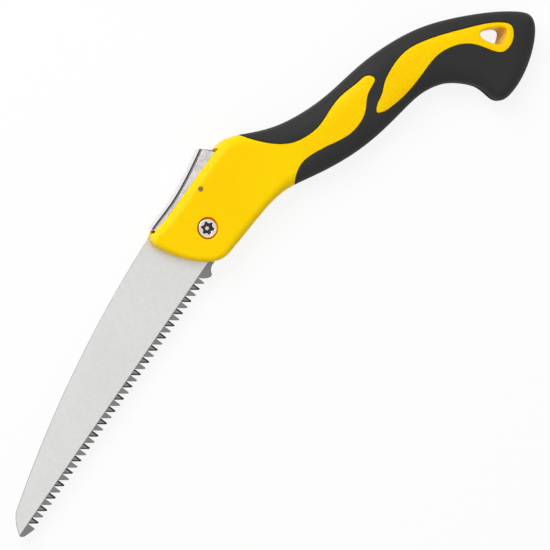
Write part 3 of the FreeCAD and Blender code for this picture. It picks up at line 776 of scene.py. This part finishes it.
# ---- Latch pin and lever pin -----------------------------------------------------------------
# Two plain dowels in a mottled brown. The latch pin is pressed into the lever's flanges and
# drops into the tang's notches. The lever pin is pressed through the head.
dowel = Finish("dowel_steel", {"Metallic": 1.0, "Roughness": 0.36})
brown_mottle = dowel.noise(900.0, 4.0)
dowel.coat(Base_Color=dowel.between(dowel.part_of(brown_mottle, 0.4, 0.65), shade(140, 104, 66),
                                    shade(178, 142, 100)),
           Roughness=0.3 + brown_mottle * 0.16, Height=(brown_mottle, 0.000012))
for node in ("latch_pin", "lever_pin"):
    dress(node, dowel)


# ---- Lever spring ----------------------------------------------------------------------------
# A small compression spring of hard-drawn wire with closed ends, in a blind hole under the
# thumb end. It pushes the lever up, so that the latch pin stays down on the tang.
coil_low, coil_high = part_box("lever_spring")
wire_radius = 0.35 * mm
coil_turns = 7.5
closed_end = 0.09              # share of the wire that lies flat at each end
tree, given, result = node_group("wound_spring", [
    ("Turns", "Float"), ("Mean Radius", "Float"), ("Free Length", "Float"),
    ("Wire Radius", "Float"), ("Foot", "Vector"), ("Turn", "Rotation"),
    ("Material", "Material")])
links, nodes = tree.links, tree.nodes
spiral = nodes.new("GeometryNodeCurveSpiral")
spiral.inputs["Resolution"].default_value = 40
spiral.inputs["Height"].default_value = 0.0
links.new(given.outputs["Turns"], spiral.inputs["Rotations"])
links.new(given.outputs["Mean Radius"], spiral.inputs["Start Radius"])
links.new(given.outputs["Mean Radius"], spiral.inputs["End Radius"])
along = nodes.new("GeometryNodeSplineParameter")
rise = nodes.new("ShaderNodeMapRange")
rise.inputs["From Min"].default_value = closed_end
rise.inputs["From Max"].default_value = 1 - closed_end
links.new(along.outputs["Factor"], rise.inputs["Value"])
links.new(given.outputs["Free Length"], rise.inputs["To Max"])
lift = nodes.new("ShaderNodeCombineXYZ")
links.new(rise.outputs[0], lift.inputs["Z"])
wound = nodes.new("GeometryNodeSetPosition")
links.new(spiral.outputs[0], wound.inputs["Geometry"])
links.new(lift.outputs[0], wound.inputs["Offset"])
section = nodes.new("GeometryNodeCurvePrimitiveCircle")
section.inputs["Resolution"].default_value = 14
links.new(given.outputs["Wire Radius"], section.inputs["Radius"])
drawn = nodes.new("GeometryNodeCurveToMesh")
drawn.inputs["Fill Caps"].default_value = True
links.new(wound.outputs[0], drawn.inputs["Curve"])
links.new(section.outputs[0], drawn.inputs["Profile Curve"])
seated = nodes.new("GeometryNodeTransform")
links.new(drawn.outputs[0], seated.inputs["Geometry"])
links.new(given.outputs["Foot"], seated.inputs["Translation"])
links.new(given.outputs["Turn"], seated.inputs["Rotation"])
real = nodes.new("GeometryNodeRealizeInstances")
links.new(seated.outputs[0], real.inputs[0])
finish_node = nodes.new("GeometryNodeSetMaterial")
links.new(real.outputs[0], finish_node.inputs["Geometry"])
links.new(given.outputs["Material"], finish_node.inputs["Material"])
links.new(finish_node.outputs[0], result.inputs[0])

wire = Finish("spring_wire", {"Metallic": 1.0, "Roughness": 0.3})
draw_marks = wire.noise(1500.0, 3.0)
wire.coat(Base_Color=wire.between(draw_marks, shade(120, 118, 116), shade(172, 170, 168)),
          Roughness=0.24 + draw_marks * 0.14, Height=(draw_marks, 0.000006))
coil_mesh = grown("lever_spring_coil", tree, {
    "Turns": coil_turns, "Mean Radius": (coil_high.x - coil_low.x) / 2 - wire_radius,
    "Free Length": coil_high.y - coil_low.y - 2 * wire_radius, "Wire Radius": wire_radius,
    "Foot": ((coil_low.x + coil_high.x) / 2, coil_low.y + wire_radius,
             (coil_low.z + coil_high.z) / 2),
    "Turn": (-math.pi / 2, 0.0, 0.0), "Material": wire.material})
coil = piece_of("lever_spring_coil", coil_mesh, wire, 60.0)
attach(coil, "handle")
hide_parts("lever_spring")
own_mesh(coil)


# ---- Table and lamps -------------------------------------------------------------------------
# A white table that the saw lies on, a large soft lamp beyond its back, a weaker one over the
# teeth, and an even pale room.
saw_low, saw_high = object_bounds()
saw_middle = (saw_low + saw_high) / 2


class Surround:
    """White where it is looked at or mirrored, its own shade where it lights the saw."""

    def __init__(self, tree):
        self.tree = tree
        rays = tree.nodes.new("ShaderNodeLightPath")
        looked_at = None
        for name in ("Is Camera Ray", "Is Glossy Ray", "Is Transmission Ray"):
            if looked_at is None:
                looked_at = rays.outputs[name]
                continue
            either = tree.nodes.new("ShaderNodeMath")
            either.operation = "MAXIMUM"
            tree.links.new(looked_at, either.inputs[0])
            tree.links.new(rays.outputs[name], either.inputs[1])
            looked_at = either.outputs[0]
        self.looked_at = looked_at

    def mixed(self, own, white, share, output):
        """own, or share of the way to white where the surround is looked at."""
        part = self.tree.nodes.new("ShaderNodeMath")
        part.operation = "MULTIPLY"
        part.inputs[1].default_value = share
        self.tree.links.new(self.looked_at, part.inputs[0])
        mix = self.tree.nodes.new("ShaderNodeMixShader")
        self.tree.links.new(part.outputs[0], mix.inputs[0])
        self.tree.links.new(own, mix.inputs[1])
        self.tree.links.new(white, mix.inputs[2])
        self.tree.links.new(mix.outputs[0], output)


table_mesh = bpy.data.meshes.new("table")
half_table = 4.0
corners = [(x * half_table, y * half_table, 0) for x, y in ((-1, -1), (1, -1), (1, 1), (-1, 1))]
table_mesh.from_pydata(corners, [], [(0, 1, 2, 3)])
table = bpy.data.objects.new("table", table_mesh)
table_mesh.transform(Matrix.Translation((0, 0, cad_box[0].z - 0.1 * mm)))
bpy.context.scene.collection.objects.link(table)
paper = Finish("table_paper", {"Roughness": 0.8, "Base Color": shade(243, 243, 243)})
glow = paper.tree.nodes.new("ShaderNodeEmission")
glow.inputs["Strength"].default_value = 1.0
surround = Surround(paper.tree)
surround.mixed(paper.shader.outputs[0], glow.outputs[0], 0.86,
               paper.tree.nodes["Material Output"].inputs[0])
table_mesh.materials.append(paper.material)

room = bpy.data.worlds.new("room")
bpy.context.scene.world = room
room.use_nodes = True
air = room.node_tree.nodes["Background"]
air.inputs["Color"].default_value = (1.0, 1.0, 1.0, 1.0)
air.inputs["Strength"].default_value = 0.48
bright_air = room.node_tree.nodes.new("ShaderNodeBackground")
bright_air.inputs["Strength"].default_value = 1.0
surround = Surround(room.node_tree)
surround.mixed(air.outputs[0], bright_air.outputs[0], 1.0,
               room.node_tree.nodes["World Output"].inputs[0])


def lamp(name, direction, distance, size, power):
    """A square soft lamp, so far off in one direction, that looks at the saw."""
    light = bpy.data.lights.new(name, "AREA")
    light.shape = "SQUARE"
    light.size = size
    light.energy = power
    body = bpy.data.objects.new(name, light)
    toward = Vector(direction).normalized()
    body.location = saw_middle + toward * distance
    body.rotation_euler = toward.to_track_quat("Z", "Y").to_euler()
    bpy.context.scene.collection.objects.link(body)


lamp("lamp_back", (0.22, 1.0, 1.02), 1.7, 1.1, 23.0)
lamp("lamp_teeth", (-0.7, -0.9, 1.6), 2.0, 1.6, 1.5)


# ---- Camera ----------------------------------------------------------------------------------
# Looks down on the face that the screw goes in from, from a little beyond the back of the saw,
# with the open blade towards the lower left.
camera_data = bpy.data.cameras.new("camera")
camera_data.sensor_width = 36.0
camera_data.lens = 196.4
camera_data.clip_start = 0.1
camera_data.clip_end = 30.0
camera = bpy.data.objects.new("camera", camera_data)
bpy.context.scene.collection.objects.link(camera)
looked_at = Vector((-4.15, -11.54, 9.5)) * mm
back = Vector((-0.160, 0.2244, 0.9613)).normalized()
up = Vector((0.8143, 0.5804, 0.0)).normalized()
camera_distance = 1.676
right = up.cross(back).normalized()
up = back.cross(right)
camera.matrix_world = Matrix.Translation(looked_at + back * camera_distance) @ Matrix(
    (right, up, back)).transposed().to_4x4()
bpy.context.scene.camera = camera
bpy.context.scene.view_settings.view_transform = "Standard"
